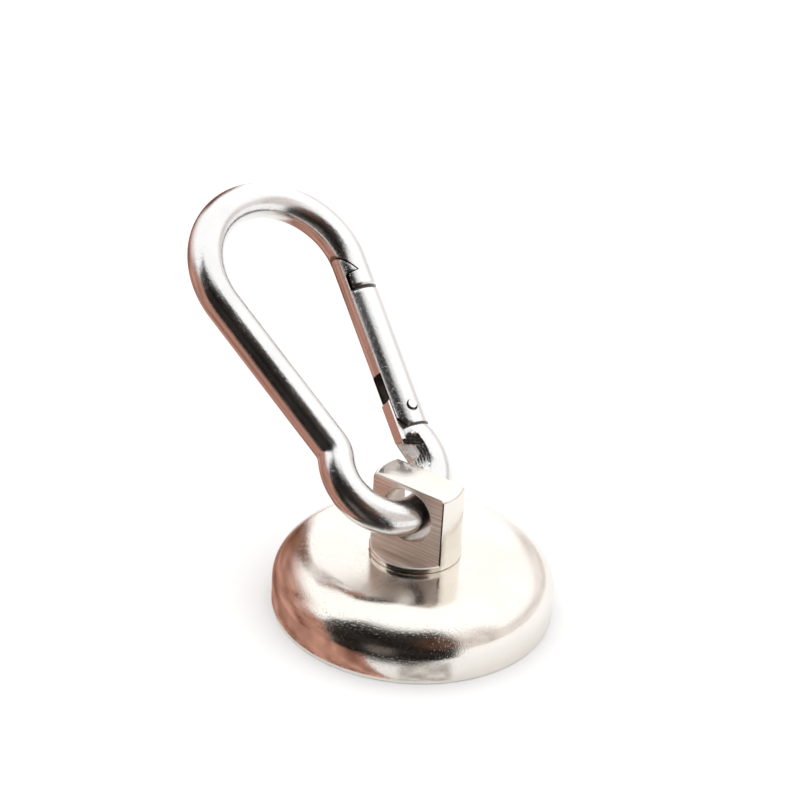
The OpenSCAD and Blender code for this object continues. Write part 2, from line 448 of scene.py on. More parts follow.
def milled_material():
    """Flat left by a cutter: long parallel streaks in colour, roughness and depth, coarse and fine."""
    material, tree, shader = nodes_of("milled_nickel")
    shader.inputs["Metallic"].default_value = 0.8
    coordinates = tree.nodes.new("ShaderNodeTexCoord")
    fine = noise(tree, coordinates, 1, 2, (90, 900, 7500))
    coarse = noise(tree, coordinates, 1, 1, (40, 300, 1900))
    link(tree, tint(tree, fine, (0.66, 0.53, 0.44), (0.97, 0.87, 0.79)), "Color", shader, "Base Color")
    link(tree, spread(tree, coarse, 0.32, 0.52), "Result", shader, "Roughness")
    bumps(tree, shader, [(coarse, 0.03, 0.8), (fine, 0.016, 0.8)])
    return material


MILLED = milled_material()
# Rougher rounded edges of the milled flats and the ledge; their lighter colour is a painted highlight line
EDGE_HIGHLIGHT = polished_metal("edge_painted_highlight", (0.86, 0.83, 0.79), (0.97, 0.95, 0.92), (0.38, 0.52), 0.002)
# Bored finish of the eye's hole, with drawn lines; its dark colour is painted shade inside the hole
BORE_FINISH_AND_SHADE = polished_metal("bored_nickel_painted_shade", (0.30, 0.25, 0.225), (0.68, 0.60, 0.56), (0.16, 0.3), 0.004,
                       ((500, 4200, 500), 0.004, None))


def resin_material():
    material, tree, shader = nodes_of("cured_resin")
    coordinates = tree.nodes.new("ShaderNodeTexCoord")
    lumps = noise(tree, coordinates, 260, 3)
    specks = noise(tree, coordinates, 2400, 4)
    colour = tint(tree, specks, (0.022, 0.022, 0.024), (0.05, 0.05, 0.053))
    link(tree, colour, "Color", shader, "Base Color")
    link(tree, spread(tree, lumps, 0.28, 0.5), "Result", shader, "Roughness")
    bumps(tree, shader, [(lumps, 0.06, 0.7), (specks, 0.01, 0.5)])
    return material


RESIN = resin_material()


# ---------------------------------------------------------------- pot magnet
CUP_RIM_R = 0.3
RIM_STEP = 0.08
POCKET_EDGE = 0.15
SHOULDER_STEPS = 72
CUP_STEPS = 256


def cup_shell():
    """Pressed steel pot: flat top, wide elliptical shoulder, straight wall and a pocket underneath."""
    pocket_r, pocket_h = CUP_R - CUP_SIDE_T, CUP_H - CUP_WEB_T
    shoulder_r, shoulder_h = CUP_R - CUP_FLAT_R, CUP_H - CUP_WALL_H
    top = [(CUP_BORE_R, CUP_H), (STUD_R, CUP_H), ((STUD_R + CUP_FLAT_R) / 2, CUP_H)]
    shoulder = []
    for k in range(SHOULDER_STEPS + 1):
        a = math.pi / 2 * (1 - k / SHOULDER_STEPS)
        shoulder.append((CUP_FLAT_R + shoulder_r * math.cos(a), CUP_WALL_H + shoulder_h * math.sin(a)))
    wall = [(CUP_R, CUP_WALL_H / 2)]
    foot = arc((CUP_R - CUP_RIM_R, CUP_RIM_R), CUP_RIM_R, 0, -math.pi / 2, RIM_STEP)
    pocket = [(pocket_r + POCKET_EDGE, 0), (pocket_r, POCKET_EDGE)]
    pocket += [(pocket_r, pocket_h), (CUP_BORE_R, pocket_h)]
    obj = lathe("cup_shell", top + shoulder + wall + foot + pocket, CUP_STEPS)
    finish_piece(obj, "magnet", ["pot_cup"], NICKEL, smooth=40, machined=False)


# ---------------------------------------------------------------- eye stud
FLAT_BASE = CUP_H + COLLAR_H
COLLAR_GAP = 0.04
COLLAR_EDGE = 0.12
PEEN_EDGE_R = 0.4
CUT_EDGE_R = 0.22
SIDE_EDGE_R = 1.5 * CUT_EDGE_R
HOLE_EDGE_R = 0.16
STUD_BEVEL = 0.13

STUD_STEPS = 192
HOLE_STEPS = 144
SIDE_RINGS = 16
SIDE_EDGE_STEPS = 8
CORNER_STEP = 0.1
EDGE_STEP = 0.04
SIDE_CUT_SPARE = 5

# Material slots of the stud, and what tells its faces apart: normals and distances from the milled edges
TURNED_SLOT, MILLED_SLOT, BORE_SHADE_SLOT, EDGE_HIGHLIGHT_SLOT = range(4)
FLAT_NORMAL = 0.995
EDGE_NORMAL = (0.3, 0.97)
LEDGE_NEAR, LEDGE_MARGIN, HOLE_NEAR = 0.2, 0.1, 0.02


def side_cut(side, low, high):
    """What the cutter takes from one side of the head. Its edges to the round sides come out rounded."""
    near, wide = side * SLAB_T / 2, 2 * STUD_R
    edge = math.sqrt(STUD_R ** 2 - near ** 2)
    beyond = (edge + abs(near), near - side * edge)
    right = round_corner((edge, near), (0, near), beyond, SIDE_EDGE_R, SIDE_EDGE_STEPS)
    left = [(-x, y) for x, y in reversed(right)]
    level = right[-1][1]
    around = [(wide, level), (wide, side * wide), (-wide, side * wide), (-wide, level)]
    return prism("side_cut", right + around + left, low, high)


def ledge_rim():
    """Ring that rounds the collar's rim where the cutter has left a ledge."""
    r, wide = CUT_EDGE_R, STUD_R + OVERSHOOT
    profile = arc((STUD_R - r, FLAT_BASE - r), r, math.pi / 2, 0, EDGE_STEP)
    profile += [(wide, FLAT_BASE - r), (wide, FLAT_BASE + r), (STUD_R - r, FLAT_BASE + r)]
    return lathe("ledge_rim", profile, STUD_STEPS)


def top_edge(side):
    """Bar that rounds the top edge of one milled flat."""
    r, near = CUT_EDGE_R, side * SLAB_T / 2
    above, far = STUD_TOP + OVERSHOOT, near + side * OVERSHOOT
    corner = arc((0, STUD_TOP - r), r, 0, math.pi / 2, EDGE_STEP)
    outline = [(near - side * r + side * x, z) for x, z in corner]
    outline += [(near - side * r, above), (far, above), (far, STUD_TOP - r)]
    obj = prism("top_edge", outline, -STUD_R, STUD_R)
    obj.data.transform(matrix_of((0, 1, 0), (0, 0, 1), (1, 0, 0), (0, 0, 0)))
    return obj


def cross_hole():
    """Hole of the eye, with its two edges rounded."""
    r, half, wide = HOLE_EDGE_R, SLAB_T / 2, 2 * STUD_R
    profile = [(0, -wide), (EYE_R + r, -wide)]
    profile += arc((EYE_R + r, r - half), r, -math.pi / 2, -math.pi, EDGE_STEP)
    profile += arc((EYE_R + r, half - r), r, math.pi, math.pi / 2, EDGE_STEP)
    profile += [(EYE_R + r, wide), (0, wide)]
    obj = lathe("cross_hole", profile, HOLE_STEPS)
    obj.data.transform(Matrix.Translation((0, 0, EYE_Z)) @ Matrix.Rotation(math.pi / 2, 4, "X"))
    return obj


def stud_profile():
    """Outline of the turned stud, from the middle of its top down to the middle of its peened end."""
    base, round_foot = CUP_H + COLLAR_GAP, STUD_TOP - HEAD_ROUND
    profile = [(0, STUD_TOP)]
    profile += arc((STUD_R - HEAD_ROUND, round_foot), HEAD_ROUND, math.pi / 2, 0, CORNER_STEP)
    for k in range(1, SIDE_RINGS + 1):
        profile.append((STUD_R, between((round_foot, base + COLLAR_EDGE), k / SIDE_RINGS)))
    profile += [(STUD_R - COLLAR_EDGE, base), (SHANK_R, base)]
    profile += [(SHANK_R, washer_high.z), (SPIGOT_R, washer_high.z), (SPIGOT_R, washer_low.z)]
    profile += [(PEEN_R, washer_low.z)]
    end, r = washer_low.z - PEEN_H, PEEN_EDGE_R
    profile += arc((PEEN_R - r, end + r), r, 0, -math.pi / 2, CORNER_STEP)
    return profile + [(0, end)]


def stud_finish(spot, normal):
    """Material slot of a face of the stud."""
    on_ledge = abs(spot.z - FLAT_BASE) < LEDGE_NEAR and abs(spot.y) > SLAB_T / 2 + LEDGE_MARGIN
    if abs(normal.y) > FLAT_NORMAL and spot.z > FLAT_BASE:
        return MILLED_SLOT
    if on_ledge and normal.z > FLAT_NORMAL:
        return MILLED_SLOT
    # Faces in the eye's hole get the bored finish with its painted shade
    if math.hypot(spot.x, spot.z - EYE_Z) < EYE_R + HOLE_NEAR and abs(spot.y) < SLAB_T / 2:
        return BORE_SHADE_SLOT
    # Rounded edges at the flats' tops and at the ledge get the painted highlight
    on_rim = spot.z > STUD_TOP - CUT_EDGE_R and abs(spot.y) > SLAB_T / 2 - CUT_EDGE_R
    if (on_ledge or on_rim) and EDGE_NORMAL[0] < normal.z < EDGE_NORMAL[1]:
        return EDGE_HIGHLIGHT_SLOT
    return TURNED_SLOT


def stud_head():
    """Turned head, shank and peened end, with two milled flats and a cross hole."""
    obj = lathe("stud_head", stud_profile(), STUD_STEPS)
    for side in (-1, 1):
        boolean(obj, "DIFFERENCE", side_cut(side, FLAT_BASE, STUD_TOP + SIDE_CUT_SPARE))
        rim = ledge_rim()
        boolean(rim, "INTERSECT", side_cut(side, FLAT_BASE - 2 * CUT_EDGE_R, FLAT_BASE + CUT_EDGE_R))
        boolean(obj, "DIFFERENCE", rim)
        boolean(obj, "DIFFERENCE", top_edge(side))
    boolean(obj, "DIFFERENCE", cross_hole())
    bevel(obj, STUD_BEVEL, segments=3, angle=32)
    finish_piece(obj, "eye", ["eye_stud"], NICKEL_HEAD)
    for material in (MILLED, BORE_FINISH_AND_SHADE, EDGE_HIGHLIGHT):
        obj.data.materials.append(material)
    for polygon in obj.data.polygons:
        polygon.material_index = stud_finish(polygon.center / MM, polygon.normal)


# ---------------------------------------------------------------- snap hook: the line of its bar
def bend_centre(out, up, r):
    """Centre of the outside bend of radius r that joins a straight run to the small loop."""
    across = ARCH_CENTRE.dot(out) + ARCH_R + r
    return out * across + up * math.sqrt((LOOP_R + r) ** 2 - across ** 2)


SPINE_OUT = Vector((-math.cos(SPINE_LEAN), -math.sin(SPINE_LEAN)))
SPINE_UP = Vector((-math.sin(SPINE_LEAN), math.cos(SPINE_LEAN)))
GATE_OUT = Vector((math.cos(GATE_LEAN), -math.sin(GATE_LEAN)))
GATE_UP = Vector((math.sin(GATE_LEAN), math.cos(GATE_LEAN)))
KINK_CENTRE = bend_centre(SPINE_OUT, SPINE_UP, KINK_R)
FOOT_CENTRE = bend_centre(GATE_OUT, GATE_UP, FOOT_R)
GATE_TO_HOOK = ON_HOOK.inverted() @ ON_GATE

LINE_STEP = 0.3
FINE_STEP = LINE_STEP / 3
STRAIGHT_POINTS = 60
PRESSED_FROM = math.radians(-24)
TONGUE_SPARE = 0.3
EASE_REACH, EASE_GAP, EASE_PASSES = 2.2, 0.1, 60


def eased(points, around):
    """Line with its bends near one place blended into each other, so that reflections flow through."""
    near = [k for k, p in enumerate(points) if (p - around).length < EASE_REACH]
    first, last = near[0], near[-1]
    run, left = [points[first]], EASE_GAP
    for a, b in zip(points[first:last], points[first + 1:last + 1]):
        length = (b - a).length
        while left <= length:
            run.append(a.lerp(b, left / length))
            left += EASE_GAP
        left -= length
    run.append(points[last])
    for _ in range(EASE_PASSES):
        middle = [(a + b * 2 + c) / 4 for a, b, c in zip(run, run[1:], run[2:])]
        run = [run[0]] + middle + [run[-1]]
    return points[:first] + run + points[last + 1:]


def hook_centreline():
    """Points from the latch's tongue over the arch, down the spine and round the loop to the gate's foot.

    They lie closer at the sharp bend and at the pressed foot. The tongue is a little long, and is cut
    later.
    """
    kink = math.atan2(KINK_CENTRE.y, KINK_CENTRE.x)
    foot = math.atan2(FOOT_CENTRE.y, FOOT_CENTRE.x)
    tongue = gate_head + GATE_UP * (TONGUE_END - TONGUE_SPARE)
    points = [tuple(tongue.lerp(gate_head, k / STRAIGHT_POINTS)) for k in range(STRAIGHT_POINTS)]
    points += arc(ARCH_CENTRE, ARCH_R, -GATE_LEAN, math.pi + SPINE_LEAN, LINE_STEP)
    spine_head, spine_foot = Vector(points[-1]), KINK_CENTRE - SPINE_OUT * KINK_R
    for k in range(1, STRAIGHT_POINTS):
        points.append(tuple(spine_head.lerp(spine_foot, k / STRAIGHT_POINTS)))
    points += arc(KINK_CENTRE, KINK_R, SPINE_LEAN, kink - math.pi, FINE_STEP / 2)
    points += arc((0, 0), LOOP_R, kink, 2 * math.pi + PRESSED_FROM, LINE_STEP)[1:]
    points += arc((0, 0), LOOP_R, PRESSED_FROM, foot, FINE_STEP)[1:]
    points += arc(FOOT_CENTRE, FOOT_R, math.pi + foot, math.pi - GATE_LEAN, FINE_STEP)[1:]
    return eased([Vector(p) for p in points], spine_foot)


def lip_radius(run):
    """Radius of the bar at a place along it. Its start is rounded in, as the tongue's lip."""
    left = 1 - min(max((run - TONGUE_SPARE) / LIP_H, 0), 1)
    return WIRE_R - LIP_INSET * (1 - math.sqrt(1 - left * left))


# ---------------------------------------------------------------- snap hook: the pressed foot
# How each flat is turned from the inside of the hook to the front, and how far it is from the bar's middle
UPPER_TURN, UPPER_REACH = math.radians(38), 2.25
LOWER_TURN, LOWER_REACH = math.radians(33), 2.2
SIDE_TURN, SIDE_REACH = math.radians(17), 2.55
LOW_SIDE_TURN, LOW_SIDE_REACH = math.radians(25), 2.19
FLAT_END, FLATS_MEET, SKEW = 3.1, 1.6, 0.4

# Heights between which the press has touched the bar, and over which its bulge comes and goes
PRESS_LOW, PRESS_HIGH = -2.0, 4.6
BULGE, BULGE_RISE, BULGE_PAST, BULGE_FALL = 0.6, 2.5, 0.7, 0.5

# Depths of the marks, and their waves in radians per millimetre
DIMPLE, DIMPLE_ACROSS, DIMPLE_SLANT, DIMPLE_ALONG = 0.018, 9, 4, 11
RIDGE, RIDGE_COARSE, RIDGE_FINE = 0.020, 15, 26
TAPER_H, TAPER = 0.85, 0.30


def front_reach(upper, across, along):
    """How far a front flat stands from the bar's middle, dimpled above and with fine ridges below."""
    if upper:
        dimples = DIMPLE * math.sin(across * DIMPLE_ACROSS + along * DIMPLE_SLANT)
        return UPPER_REACH + dimples * math.sin(along * DIMPLE_ALONG)
    ridges = math.sin(across * RIDGE_COARSE) + math.sin(across * RIDGE_FINE + along)
    return LOWER_REACH + RIDGE * ridges / 2


def flattened(offset, inward, turn, reach):
    """Offset from the bar's middle, brought back to a flat if it stands beyond it."""
    face = inward * math.cos(turn) + Vector((0, 0, math.sin(turn)))
    beyond = offset.dot(face) - reach
    return offset - face * beyond if beyond > 0 else offset


def squeezed(point, centre, inward):
    """Point of the foot's skin, with the flats, the bulge and the small taper that the press leaves.

    The bar is spread towards the inside of the hook. Two flats, one above the other, look to the front, and
    each has a plain one beside it that looks more inwards. The taper runs up to the gate's shoulder.
    """
    if not (PRESS_LOW < centre.y < PRESS_HIGH and centre.x > 0):
        return point
    on_gate = GATE_TO_HOOK.inverted() @ point
    above = on_gate.y - (SHOULDER - TAPER_H)
    if above > 0:
        narrow = 1 - TAPER * above / WIRE_R
        return GATE_TO_HOOK @ Vector((on_gate.x * narrow, on_gate.y, on_gate.z * narrow))
    offset = point - centre
    inner = max(offset.dot(inward), 0) / WIRE_R
    press = smooth_step((centre.y - PRESS_LOW) / BULGE_RISE)
    press *= smooth_step((FLAT_END + BULGE_PAST - centre.y) / BULGE_FALL)
    offset += inward * (inner * BULGE * press)
    height = centre.y + SKEW * offset.dot(Vector((0, 0, 1)) - inward)
    if height > FLAT_END:
        return centre + offset
    upper = height > FLATS_MEET
    turn = UPPER_TURN if upper else LOWER_TURN
    across = offset.dot(Vector((0, 0, math.cos(turn))) - inward * math.sin(turn))
    offset = flattened(offset, inward, turn, front_reach(upper, across, centre.y))
    side_turn, side_reach = (SIDE_TURN, SIDE_REACH) if upper else (LOW_SIDE_TURN, LOW_SIDE_REACH)
    return centre + flattened(offset, inward, side_turn, side_reach + (1 - press) * BULGE)


# ---------------------------------------------------------------- snap hook: its body
BAR_SIDES = 128
HOOK_BEVEL = 0.07
FAR_OUT = 4.0

# Corners of the gate's wedge, barb and neck, and the gaps that the latch leaves round them
WEDGE_TOP, WEDGE_TIP = (-3.2, 2.09), (-0.72, -1.78)
BARB_ROOT, NECK_FOOT = (-2.05, -1.95), (-2.05, -4.5)
TOP_GAP, TIP_GAP, ROOT_GAP = (0, 0.42), (0.22, -0.04), (0.27, -0.13)
LATCH_CUT_FOOT = -9

TANG_ROOT = 1.2
TANG_CHAMFER = 0.3
TANG_STEP = 0.2
PIN_PLAY = 0.05
PIN_HOLE_SIDES = 48
SHOULDER_CUT_H = 4
CUT_SHADE_SLOT = 1
CUT_MARGIN = 0.1
CUT_ABOVE = 1


def lay_wire_uv(bm, uv, place):
    """UV of each vertex from its place along and around the bar, with the last strip kept whole."""
    whole_turn = 2 * math.pi * WIRE_R
    for face in bm.faces:
        arounds = [place[loop.vert][1] for loop in face.loops]
        last_strip = max(arounds) - min(arounds) > whole_turn / 2
        for loop in face.loops:
            along, around = place[loop.vert]
            if last_strip and around < whole_turn / 2:
                around += whole_turn
            loop[uv].uv = (along * MM, around * MM)


def hook_tube():
    """Skin of the bent bar before anything is cut from it."""
    points = hook_centreline()
    bm = bmesh.new()
    uv = bm.loops.layers.uv.new("wire")
    rings, place, run = [], {}, 0.0
    for k, p in enumerate(points):
        tangent = (points[min(k + 1, len(points) - 1)] - points[max(k - 1, 0)]).normalized()
        side = Vector((tangent.y, -tangent.x, 0))
        run += (p - points[k - 1]).length if k else 0.0
        centre, r = p.to_3d(), lip_radius(run)
        ring = []
        for n in range(BAR_SIDES):
            a = 2 * math.pi * n / BAR_SIDES
            point = centre + side * (r * math.cos(a)) + Vector((0, 0, r * math.sin(a)))
            vert = bm.verts.new(squeezed(point, centre, -side))
            place[vert] = (run, WIRE_R * a)
            ring.append(vert)
        rings.append(ring)
    skin_rings(bm, rings)
    lay_wire_uv(bm, uv, place)
    return new_object("hook_bar", bm)


def on_gate_line(obj):
    """Moves a tool that was drawn on the gate's lines to the hook's."""
    obj.data.transform(GATE_TO_HOOK)
    return obj


def moved(point, gap):
    return (point[0] + gap[0], point[1] + gap[1])


def latch_cut():
    """What the bar's end leaves free for the gate's wedge, its neck and the rest of the gate."""
    top, tip, root = moved(WEDGE_TOP, TOP_GAP), moved(WEDGE_TIP, TIP_GAP), moved(BARB_ROOT, ROOT_GAP)
    outline = [top, tip, root, (root[0], TONGUE_END), (FAR_OUT, TONGUE_END), (FAR_OUT, LATCH_CUT_FOOT)]
    outline += [(-FAR_OUT, LATCH_CUT_FOOT), (-FAR_OUT, top[1])]
    radii = [0, 0.08, 0.12, 0.3, 0, 0, 0, 0]
    return prism("latch_cut", rounded(outline, radii), -FAR_OUT, FAR_OUT)


def tang():
    """Flat plate that the gate's slot straddles, with the hole for the pivot pin."""
    px, py = PIVOT
    r, chamfer = TANG_OUTER_R, TANG_CHAMFER
    plate = [(TANG_INNER, SHOULDER - TANG_ROOT), (px + r, SHOULDER - TANG_ROOT)]
    plate += arc((px, py), r, 0, math.pi / 2, TANG_STEP)
    plate += [(px, TANG_TOP), (TANG_INNER + chamfer, TANG_TOP), (TANG_INNER, TANG_TOP - chamfer)]
    obj = on_gate_line(prism("tang", plate, -TANG_T / 2, TANG_T / 2))
    hole = rod("pin_hole", PIN_R + PIN_PLAY, (px, py, -FAR_OUT), (px, py, FAR_OUT), PIN_HOLE_SIDES)
    boolean(obj, "DIFFERENCE", on_gate_line(hole))
    return obj


def from_centreline(spot):
    """Distance of a point on the gate's lines from the middle of the bar, straight below and bent above."""
    if spot.y < 0:
        return math.hypot(spot.x, spot.z)
    on_hook = GATE_TO_HOOK @ spot
    return math.hypot((on_hook.xy - ARCH_CENTRE).length - ARCH_R, on_hook.z)


def paint_shade_on_cut_faces(obj, low, high, centre_distance):
    """Gives faces inside the bar's skin, between two places along the gate, the unpolished cut finish,
    whose dark colour is painted shade for the gaps of the latch and the gate's slot.
    """
    to_gate = ON_GATE.inverted() @ Matrix.Scale(1 / MM, 4)
    obj.data.materials.append(CUT_FINISH_AND_SHADE)
    for polygon in obj.data.polygons:
        spot = to_gate @ polygon.center
        if low < spot.y < high and centre_distance(spot) < WIRE_R - CUT_MARGIN:
            polygon.material_index = CUT_SHADE_SLOT


def hook_bar():
    """Bent bar with the hooked tongue of the latch at one end and the gate's tang at the other."""
    obj = hook_tube()
    boolean(obj, "DIFFERENCE", on_gate_line(latch_cut()))
    above = SHOULDER + SHOULDER_CUT_H
    step = [(-FAR_OUT, SHOULDER), (FAR_OUT, SHOULDER), (FAR_OUT, above), (-FAR_OUT, above)]
    boolean(obj, "DIFFERENCE", on_gate_line(prism("shoulder", step, -FAR_OUT, FAR_OUT)))
    boolean(obj, "UNION", tang())
    bevel(obj, HOOK_BEVEL, segments=2, angle=38)
    finish_piece(obj, "hook", ["hook_body"], STEEL, ON_HOOK)
    paint_shade_on_cut_faces(obj, TONGUE_END - CUT_MARGIN, WEDGE_TOP[1] + CUT_ABOVE, from_centreline)


# ---------------------------------------------------------------- snap hook: gate, pin and spring
GATE_BAR_TOP = 3.5
GATE_RING_GAP = 0.5
GATE_BEVEL = 0.1
NECK_SLOPE = 0.25
HEEL, HEEL_RISE = 0.8, 3.6
BORE_SIDES = 64

PIN_SUNK, PIN_FIT, PEEN_PROUD = 0.02, 0.01, 0.04
PEENED_END_R = 0.60
CRESCENT_DEPTH = 0.45
CRESCENT_SHIFT = (0.10, 0.17)

NOSE_R, NOSE_STEP, PLUNGER_EDGE = 0.35, 0.05, 0.1
ALONG_BORE = ON_GATE @ Matrix.Translation((PIVOT.x, 0, 0)) @ Matrix.Rotation(math.radians(-90), 4, "X")


def gate_outline():
    """Side view of the gate: wedge and neck of the latch at the top, a slanted inner foot at the bottom."""
    outline = [WEDGE_TOP, WEDGE_TIP, BARB_ROOT, NECK_FOOT, (FAR_OUT, NECK_FOOT[1] - NECK_SLOPE)]
    outline += [(FAR_OUT, GATE_END), (PIVOT.x - HEEL, GATE_END), (-FAR_OUT, GATE_END + HEEL_RISE)]
    outline += [(-FAR_OUT, WEDGE_TOP[1])]
    radii = [0, 0.08, 0.25, 0.35, 0, 0, 0.2, 0, 0]
    return prism("gate_outline", rounded(outline, radii), -FAR_OUT, FAR_OUT)


def wrap_wire_uv(obj):
    """Unrolls a gate's skin, so that its drawn lines run along it."""
    layer = obj.data.uv_layers.new(name="wire")
    for polygon in obj.data.polygons:
        turns = {}
        for index in polygon.loop_indices:
            spot = obj.data.vertices[obj.data.loops[index].vertex_index].co
            turns[index] = (spot.y, math.atan2(spot.z, spot.x) * WIRE_R)
        arounds = [around for along, around in turns.values()]
        over_seam = max(arounds) - min(arounds) > math.pi * WIRE_R
        for index, (along, around) in turns.items():
            if over_seam and around < 0:
                around += 2 * math.pi * WIRE_R
            layer.data[index].uv = (along * MM, around * MM)


def gate_bar():
    """Round gate with its latch wedge on top, and the slot, spring bore and pin hole at its foot."""
    half, below = SLOT_W / 2, GATE_END - OVERSHOOT
    obj = rod("gate_bar", WIRE_R, (0, GATE_END, 0), (0, GATE_BAR_TOP, 0), BAR_SIDES, GATE_RING_GAP)
    boolean(obj, "INTERSECT", gate_outline())
    slot = [(-FAR_OUT, below), (SLOT_BACK, below), (SLOT_BACK, SLOT_TOP), (-FAR_OUT, SLOT_TOP)]
    boolean(obj, "DIFFERENCE", prism("slot", slot, -half, half))
    bore_foot, bore_top = (PIVOT.x, SLOT_TOP - OVERSHOOT, 0), (PIVOT.x, SPRING_BORE_TOP, 0)
    bore = rod("bore", SPRING_BORE_R, bore_foot, bore_top, BORE_SIDES)
    hole = rod("pin_hole", PIN_R, (*PIVOT, -FAR_OUT), (*PIVOT, FAR_OUT), BORE_SIDES)
    boolean(obj, "DIFFERENCE", bore, hole)
    bevel(obj, GATE_BEVEL, segments=3, angle=32)
    wrap_wire_uv(obj)
    finish_piece(obj, "gate", ["hook_gate"], STEEL, ON_GATE)
    paint_shade_on_cut_faces(obj, below, WEDGE_TOP[1] + CUT_ABOVE, lambda spot: math.hypot(spot.x, spot.z))


def gate_rivet():
    """Pivot pin, flush with the gate. One end is peened askew, so a crescent of its hole stays open."""
    end = WIRE_R - PIN_SUNK
    dx, dy = CRESCENT_SHIFT
    obj = rod("gate_rivet", PIN_R - PIN_FIT, (0, 0, -end), (0, 0, end - CRESCENT_DEPTH), BORE_SIDES)
    peen = rod("peen", PEENED_END_R, (dx, dy, 0), (dx, dy, end + PEEN_PROUD), BORE_SIDES)
    boolean(obj, "UNION", peen)
    bevel(obj, GATE_BEVEL, segments=3, angle=32)
    obj.data.transform(Matrix.Translation((*PIVOT, 0)))
    finish_piece(obj, "gate", ["gate_pin"], STEEL, ON_GATE)
    # The faces down in the crescent get the dark cut finish, painted shade for the open gap beside the
    # peened end
    obj.data.materials.append(CUT_FINISH_AND_SHADE)
    pin_axis = ON_GATE.to_3x3().col[2]
    crescent_floor = (end - CRESCENT_DEPTH + CUT_MARGIN) * MM
    for polygon in obj.data.polygons:
        height = (polygon.center - ON_GATE.translation * MM).dot(pin_axis)
        if 0 < height < crescent_floor:
            polygon.material_index = CUT_SHADE_SLOT


def spring_plunger():
    """Pin with a rounded nose that rests on the tang."""
    low, nose, edge = TANG_TOP + FIT_GAP, NOSE_R, PLUNGER_EDGE
    profile = [(0, low)] + arc((PLUNGER_R - nose, low + nose), nose, -math.pi / 2, 0, NOSE_STEP)
    profile += [(PLUNGER_R, PLUNGER_TOP - edge), (PLUNGER_R - edge, PLUNGER_TOP), (0, PLUNGER_TOP)]
    obj = lathe("plunger_pin", profile, BORE_SIDES)
    finish_piece(obj, "plunger", ["spring_plunger"], SPRING_WIRE, ALONG_BORE)


def spring_coil():
    """Compression spring with closed ends, built at one length; the real one shortens as the plunger is
    pushed up the gate.
    """
    low, high = PLUNGER_TOP + FIT_GAP + COIL_WIRE_R, SPRING_BORE_TOP - FIT_GAP - COIL_WIRE_R
    per_turn, sides, closed = 32, 12, 2.1 * COIL_WIRE_R
    bm = bmesh.new()
    rings = []
    for k in range(COIL_TURNS * per_turn + 1):
        turns = k / per_turn
        open_share = min(max((turns - 1) / (COIL_TURNS - 2), 0), 1)
        height = low + closed * (min(turns, 1) + max(turns - COIL_TURNS + 1, 0))
        height += (high - low - 2 * closed) * open_share
        a = 2 * math.pi * turns
        ring = []
        for n in range(sides):
            b = 2 * math.pi * n / sides
            r, z = COIL_R + COIL_WIRE_R * math.cos(b), height + COIL_WIRE_R * math.sin(b)
            ring.append(bm.verts.new((r * math.cos(a), r * math.sin(a), z)))
        rings.append(ring)
    skin_rings(bm, rings)
    obj = new_object("spring_coil", bm)
    finish_piece(obj, None, ["gate_spring"], SPRING_WIRE, ALONG_BORE, machined=False)
    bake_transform(obj)


def dress_cad_pieces():
    """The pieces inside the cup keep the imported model's meshes, and only get materials."""
    for name, material in (("ring_magnet", MAGNET_PLATE), ("resin_ring", RESIN), ("bore_plug", RESIN),
                           ("retaining_washer", WASHER_STEEL)):
        node = frame["nodes"][name]
        node.data.materials.clear()
        node.data.materials.append(material)


cup_shell()
stud_head()
hook_bar()
gate_bar()
gate_rivet()
spring_plunger()
spring_coil()
dress_cad_pieces()


# ---------------------------------------------------------------- floor, light and camera
# In metres, apart from the floor's drop and the reach of its long cards, which are in millimetres
FLOOR_SIZE = 4.0
FLOOR_DROP = 0.02
FLOOR_CELLS = 8
TENT_LIGHT = 1.3
CARD_STEPS = 32
FAR = 1500

CAMERA_AZIMUTH, CAMERA_ELEVATION, CAMERA_ROLL = 33.98, 30.31, 3.495
CAMERA_DISTANCE = 0.396
CAMERA_LENS, CAMERA_SENSOR = 138.8, 36
CAMERA_AIM = Vector((-0.00983, 0.00913, 0.02234))

# What the cards glow with, from dark to light
OPENING = ((0.009, 0.008, 0.007), (0.034, 0.030, 0.027))
OPENING_SIDE = ((0.030, 0.014, 0.010), (0.210, 0.095, 0.058))
STAND = ((0.10, 0.085, 0.078), (0.22, 0.19, 0.17))
WARM = ((0.24, 0.105, 0.075), (0.72, 0.39, 0.30))
WARM_DARK = ((0.13, 0.05, 0.03), (0.36, 0.17, 0.11))
PALE_GREY = ((0.42, 0.40, 0.38), (0.85, 0.82, 0.79))
PALE_SIDE = ((0.72, 0.64, 0.60), (0.96, 0.89, 0.86))
SEAM = ((0.42, 0.40, 0.38), (0.60, 0.58, 0.56))
OFF_WHITE = ((0.76, 0.70, 0.68), (1.04, 0.99, 0.97))


def direction(azimuth, elevation):
    """Unit vector towards a direction in degrees, azimuth 0 being the -Y side and 90 the +X side."""
    a, e = math.radians(azimuth), math.radians(elevation)
    return Vector((math.sin(a) * math.cos(e), -math.cos(a) * math.cos(e), math.sin(e)))


def floor_material():
    material, tree, shader = nodes_of("studio_floor")
    coordinates = tree.nodes.new("ShaderNodeTexCoord")
    paper = noise(tree, coordinates, 9, 3)
    link(tree, tint(tree, paper, (0.90, 0.90, 0.90), (0.915, 0.913, 0.91)), "Color", shader, "Base Color")
    shader.inputs["Roughness"].default_value = 0.95
    shader.inputs["Specular IOR Level"].default_value = 0.1
    return material


def floor():
    bm = bmesh.new()
    bmesh.ops.create_grid(bm, x_segments=FLOOR_CELLS, y_segments=FLOOR_CELLS, size=FLOOR_SIZE / 2)
    obj = new_object("studio_floor", bm)
    obj.location.z = -FLOOR_DROP * MM
    obj.data.materials.append(floor_material())


